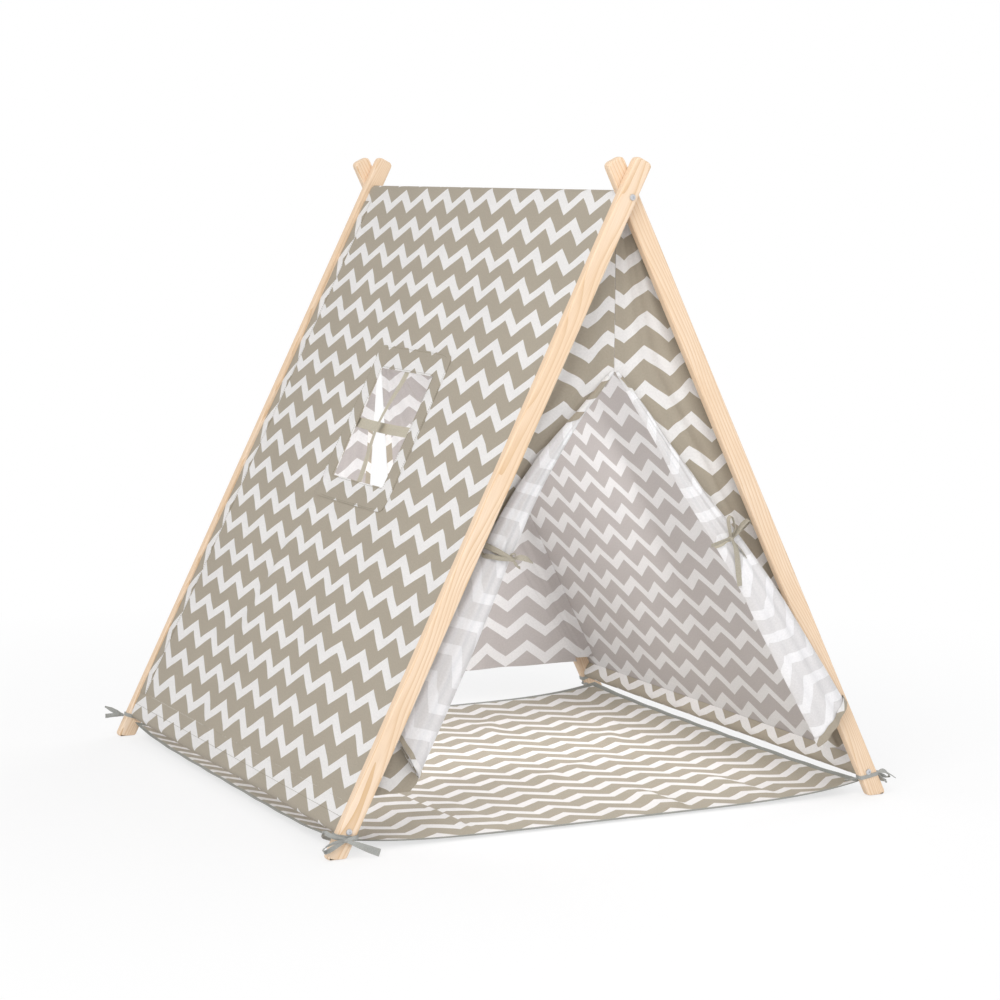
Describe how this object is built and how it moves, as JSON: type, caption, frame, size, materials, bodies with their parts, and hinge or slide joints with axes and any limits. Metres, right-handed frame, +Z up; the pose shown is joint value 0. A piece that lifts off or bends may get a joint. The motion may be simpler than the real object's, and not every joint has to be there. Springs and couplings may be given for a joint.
{
  "type": "kids teepee",
  "caption": "Folding A-frame play tent: crossed wooden slats and dowels carry a printed cloth cover with a window, tied-back front flaps, hanging rear flaps and a floor mat.",
  "frame": {"origin": "on the floor under the middle of the ridge", "axes": "+Z up; the doorway with the tied-back flaps faces -Y; the roof slope with the window faces -X"},
  "size_m": [1.2626, 1.205, 1.2327],
  "materials": {
    "pine": "sanded, unvarnished pine",
    "brass": "plain turned",
    "steel": "zinc plated, satin",
    "printed_cotton": "plain weave, printed with white chevrons",
    "white_cotton": "pale reverse of the print",
    "grey_tape": "woven tape",
    "taupe_tape": "folded and stitched strip of the cover's cloth"
  },
  "bodies": {
    "frame_left": {"slat_front_left": "pine", "slat_rear_left": "pine", "base_rod_left": "pine", "ridge_rod": "pine", "ridge_insert_front": "brass", "ridge_insert_rear": "brass", "ridge_bolt_front": "steel", "ridge_bolt_rear": "steel", "base_insert_left_front": "brass", "base_insert_left_rear": "brass", "base_bolt_left_front": "steel", "base_bolt_left_rear": "steel", "ridge_sleeve": "printed_cotton", "roof_panel_left": "printed_cotton", "base_sleeve_left": "printed_cotton", "rear_edge_band_left": "printed_cotton", "window_facing": "printed_cotton", "window_tape_upright": "taupe_tape", "window_tape_across": "taupe_tape", "front_gable_left": "printed_cotton", "rear_gable_left": "printed_cotton", "front_flap_left": "white_cotton", "flap_tie_left": "taupe_tape", "floor_mat": "printed_cotton", "mat_binding": "grey_tape", "mat_tie_front_left": "grey_tape", "mat_tie_rear_left": "grey_tape"},
    "frame_right": {"slat_front_right": "pine", "slat_rear_right": "pine", "base_rod_right": "pine", "base_insert_right_front": "brass", "base_insert_right_rear": "brass", "base_bolt_right_front": "steel", "base_bolt_right_rear": "steel", "roof_panel_right": "printed_cotton", "base_sleeve_right": "printed_cotton", "rear_edge_band_right": "printed_cotton", "front_gable_right": "printed_cotton", "rear_gable_right": "printed_cotton", "front_flap_right": "white_cotton", "flap_tie_right": "taupe_tape", "mat_tie_front_right": "grey_tape", "mat_tie_rear_right": "grey_tape"},
    "rear_flap_left": {"rear_flap_left": "printed_cotton"},
    "rear_flap_right": {"rear_flap_right": "printed_cotton"}
  },
  "joints": [
    {"name": "frame_fold", "type": "hinge", "parent": "frame_left", "child": "frame_right", "pos_m": [0, 0, 1.16], "axis": [0, 1, 0], "range_deg": [0, 50], "deforming": ["front_gable_left", "front_gable_right", "rear_gable_left", "rear_gable_right", "front_flap_left", "front_flap_right", "flap_tie_left", "flap_tie_right", "rear_flap_left", "rear_flap_right", "floor_mat", "mat_binding"]},
    {"name": "rear_flap_left_swing", "type": "hinge", "parent": "frame_left", "child": "rear_flap_left", "pos_m": [0, 0.532, 0.84], "axis": [0.5521, 0, 0.8337], "range_deg": [-80, 80]},
    {"name": "rear_flap_right_swing", "type": "hinge", "parent": "frame_right", "child": "rear_flap_right", "pos_m": [0, 0.532, 0.84], "axis": [0.5521, 0, -0.8337], "range_deg": [-80, 80]}
  ]
}
